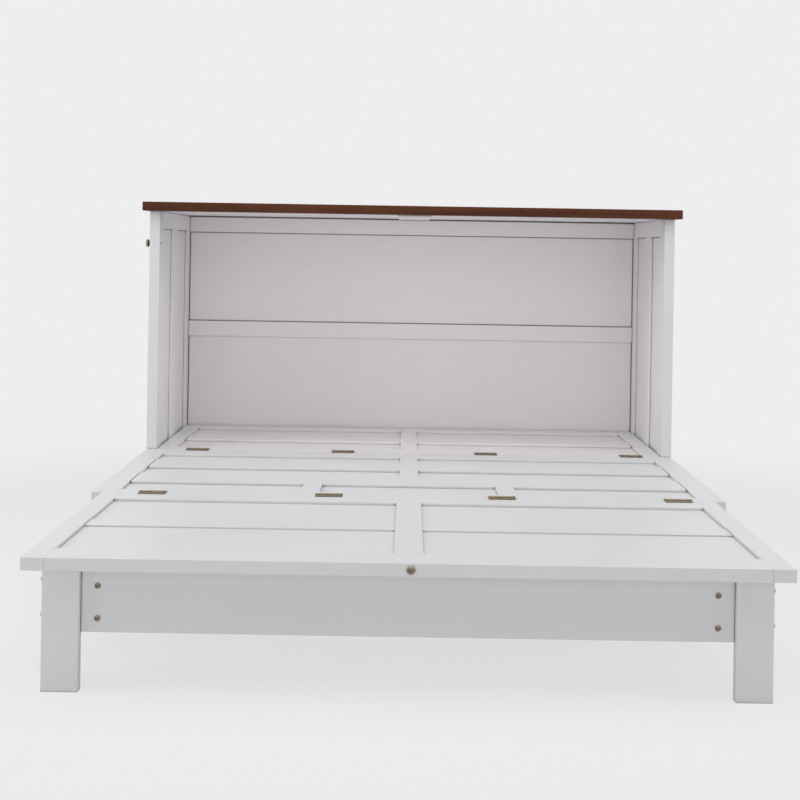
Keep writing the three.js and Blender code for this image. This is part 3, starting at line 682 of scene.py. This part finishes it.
def add_knob():
    """Replaces the latch knob by a rounder turning with a moulded rose."""
    low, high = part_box("latch_knob")
    radius = (high.z - low.z) / 2
    face_x = low.x + KNOB_PROJECTION
    mesh = turned_mesh(knob_profile(radius, face_x - high.x), KNOB_FACETS)
    centre = Vector((face_x, (low.y + high.y) / 2, (low.z + high.z) / 2))
    place = Matrix.Translation(centre) @ Matrix.Rotation(-QUARTER_TURN, 4, "Y")
    knob = add_metal("latch_knob_turned", mesh, "latch", place)
    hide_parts("latch_knob")


# Cup bolts
def cup_bolt_mesh(radius, projection, shank_radius=0, shank_length=0):
    """Bolt head with a hexagon socket, sunk in a cup washer. Z points out of the wood."""
    mouth = radius * CUP_MOUTH_SHARE
    rim = projection * CUP_RIM_SHARE
    seat = projection * (1 - CUP_DEPTH_SHARE)
    profile = [(0, -shank_length)]
    if shank_length > 0:
        profile += [(shank_radius, -shank_length), (shank_radius, 0)]
    profile += [(radius, 0), (radius, rim)]
    for step in range(1, CUP_CURVE_STEPS + 1):
        angle = QUARTER_TURN * step / CUP_CURVE_STEPS
        reach = mouth + (radius - mouth) * math.cos(angle)
        profile.append((reach, rim + (projection - rim) * math.sin(angle)))
    profile += [(mouth * CUP_LIP_RADIUS_SHARE, projection * CUP_LIP_HEIGHT_SHARE)]
    profile += [(mouth * CUP_WALL_SHARE, seat), (0, seat)]
    head = circle_points(radius * HEAD_RADIUS_SHARE)
    socket = circle_points(radius * SOCKET_RADIUS_SHARE, SOCKET_SIDES)
    head_top = seat + (projection - seat) * HEAD_RISE_SHARE
    parts = [
        (turned_mesh(profile, BOLT_FACETS), Matrix()),
        (prism_mesh([head, socket], seat - SHELL_OVERLAP, head_top), Matrix()),
    ]
    return merged_mesh("cup_bolt", parts)


def add_tie_bolt():
    """Replaces the tie bolt by one with a hexagon socket."""
    low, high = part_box("tie_bolt")
    edge_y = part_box("foot_front_rail")[0].y
    radius = (high.x - low.x) / 2
    mesh = cup_bolt_mesh(radius, edge_y - low.y, radius * TIE_SHANK_SHARE, high.y - edge_y)
    centre = Vector(((low.x + high.x) / 2, edge_y, (low.z + high.z) / 2))
    bolt = add_metal("tie_bolt_turned", mesh, "foot_section", Matrix.Translation(centre) @ facing((0, -1, 0)))
    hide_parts("tie_bolt")


def outer_face(node, axis, sign):
    """Where a node ends along an axis, on its low or its high side."""
    low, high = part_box(node)
    return low[axis] if sign < 0 else high[axis]


def add_frame_bolt(name, place, direction):
    """A cup bolt of the foot section's frame, its head towards a direction."""
    mesh = cup_bolt_mesh(FRAME_BOLT_RADIUS, FRAME_BOLT_PROJECTION)
    add_metal(name, mesh, "foot_section", Matrix.Translation(place) @ facing(direction))


def add_frame_bolts():
    """Cup bolts through the cross aprons and the legs' outer faces."""
    for end, sign_y in (("front", -1), ("rear", 1)):
        apron_y = outer_face(f"apron_{end}", 1, sign_y)
        leg_y = outer_face(f"leg_{end}_left", 1, sign_y) - sign_y * LEG_BOLT_SETBACK
        for side, sign_x in (("left", -1), ("right", 1)):
            leg_x = outer_face(f"leg_{end}_{side}", 0, sign_x)
            levels = zip(("upper", "lower"), APRON_BOLT_HEIGHTS, LEG_BOLT_HEIGHTS)
            for level, apron_z, leg_z in levels:
                spot = f"{end}_{side}_{level}"
                apron_place = (sign_x * APRON_BOLT_X, apron_y, apron_z)
                add_frame_bolt(f"apron_bolt_{spot}", apron_place, (0, sign_y, 0))
                add_frame_bolt(f"leg_bolt_{spot}", (leg_x, leg_y, leg_z), (sign_x, 0, 0))


# Camera and studio
def add_camera():
    """Level camera at the foot end; the shift only frames the view as the photograph does."""
    edge_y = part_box("foot_front_rail")[0].y
    data = bpy.data.cameras.new("camera")
    data.sensor_width = SENSOR_MM
    data.lens = FOCAL_PIXELS * SENSOR_MM / PHOTO_PIXELS
    data.shift_x = (PHOTO_PIXELS / 2 - VANISHING_X_PIXEL) / PHOTO_PIXELS
    data.shift_y = (VANISHING_Y_PIXEL - PHOTO_PIXELS / 2) / PHOTO_PIXELS
    data.clip_start = CLIP_NEAR
    data.clip_end = CLIP_FAR
    camera = add_object("camera", data)
    look = Matrix.Rotation(QUARTER_TURN, 4, "X") @ Matrix.Rotation(CAMERA_ROLL, 4, "Z")
    camera.matrix_world = Matrix.Translation((EYE_X, edge_y - EYE_TO_FOOT_EDGE, EYE_HEIGHT)) @ look
    bpy.context.scene.camera = camera


def add_area_light(name, size, place, target, watts, colour):
    """Large soft lamp aimed at a point."""
    data = bpy.data.lights.new(name, "AREA")
    data.shape = "RECTANGLE"
    data.size, data.size_y = size
    data.energy = watts
    data.color = colour
    lamp = add_object(name, data)
    lamp.matrix_world = Matrix.Translation(place) @ facing(Vector(target) - Vector(place), "-Z")
    lamp.visible_camera = False


def seen_directly(graph):
    """1 for rays from the camera, in reflections and through glass; 0 for rays that carry light."""
    path = graph.add("ShaderNodeLightPath")
    total = graph.math("ADD", path.outputs["Is Camera Ray"], path.outputs["Is Glossy Ray"])
    return graph.math("MINIMUM", graph.math("ADD", total, path.outputs["Is Transmission Ray"]), 1)


def make_world():
    """Soft ambient light, with a plain pale backdrop to look at."""
    world = bpy.data.worlds.new("studio")
    bpy.context.scene.world = world
    graph = Graph(world)
    light = graph.add("ShaderNodeBackground")
    light.inputs["Color"].default_value = AMBIENT
    light.inputs["Strength"].default_value = AMBIENT_STRENGTH
    backdrop = graph.add("ShaderNodeBackground")
    backdrop.inputs["Color"].default_value = BACKDROP
    mixed = graph.mix_shader(seen_directly(graph), light.outputs[0], backdrop.outputs[0])
    output = graph.add("ShaderNodeOutputWorld")
    graph.link(mixed, output.inputs["Surface"])


def make_floor_material():
    """Pale floor that keeps the shadow near the bed and fades into the backdrop far from it."""
    material = bpy.data.materials.new("studio_floor")
    graph = Graph(material)
    position = graph.add("ShaderNodeTexCoord").outputs["Object"]
    distance = graph.add("ShaderNodeVectorMath", operation="LENGTH")
    graph.link(position, distance.inputs[0])
    far = graph.spread(distance.outputs["Value"], *FLOOR_FADE_LIMITS, FLOOR_LIFT_SHARE, 1)
    diffuse = graph.add("ShaderNodeBsdfDiffuse")
    diffuse.inputs["Color"].default_value = FLOOR_COLOUR
    glow = graph.add("ShaderNodeEmission")
    glow.inputs["Color"].default_value = BACKDROP
    glow_share = graph.math("MULTIPLY", far, seen_directly(graph))
    graph.surface(graph.mix_shader(glow_share, diffuse.outputs[0], glow.outputs[0]))
    return material


def add_floor():
    """Plain floor under the bed."""
    half = FLOOR_HALF
    work = bmesh.new()
    corners = [(-half, -half), (half, -half), (half, half), (-half, half)]
    work.faces.new([work.verts.new((x, y, 0)) for x, y in corners])
    mesh = bpy.data.meshes.new("studio_floor")
    work.to_mesh(mesh)
    work.free()
    mesh.materials.append(make_floor_material())
    floor = add_object("studio_floor", mesh)


for node_name, node_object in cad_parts.items():
    if not node_name.startswith(("hinge_", "latch_", "tie_")):
        finish_board(node_name, node_object)
add_hinges()
add_knob()
add_tie_bolt()
add_frame_bolts()
add_floor()
for lamp_name, lamp_settings in LAMPS.items():
    add_area_light(lamp_name, *lamp_settings)
make_world()
add_camera()
bpy.context.scene.view_settings.view_transform = "Standard"
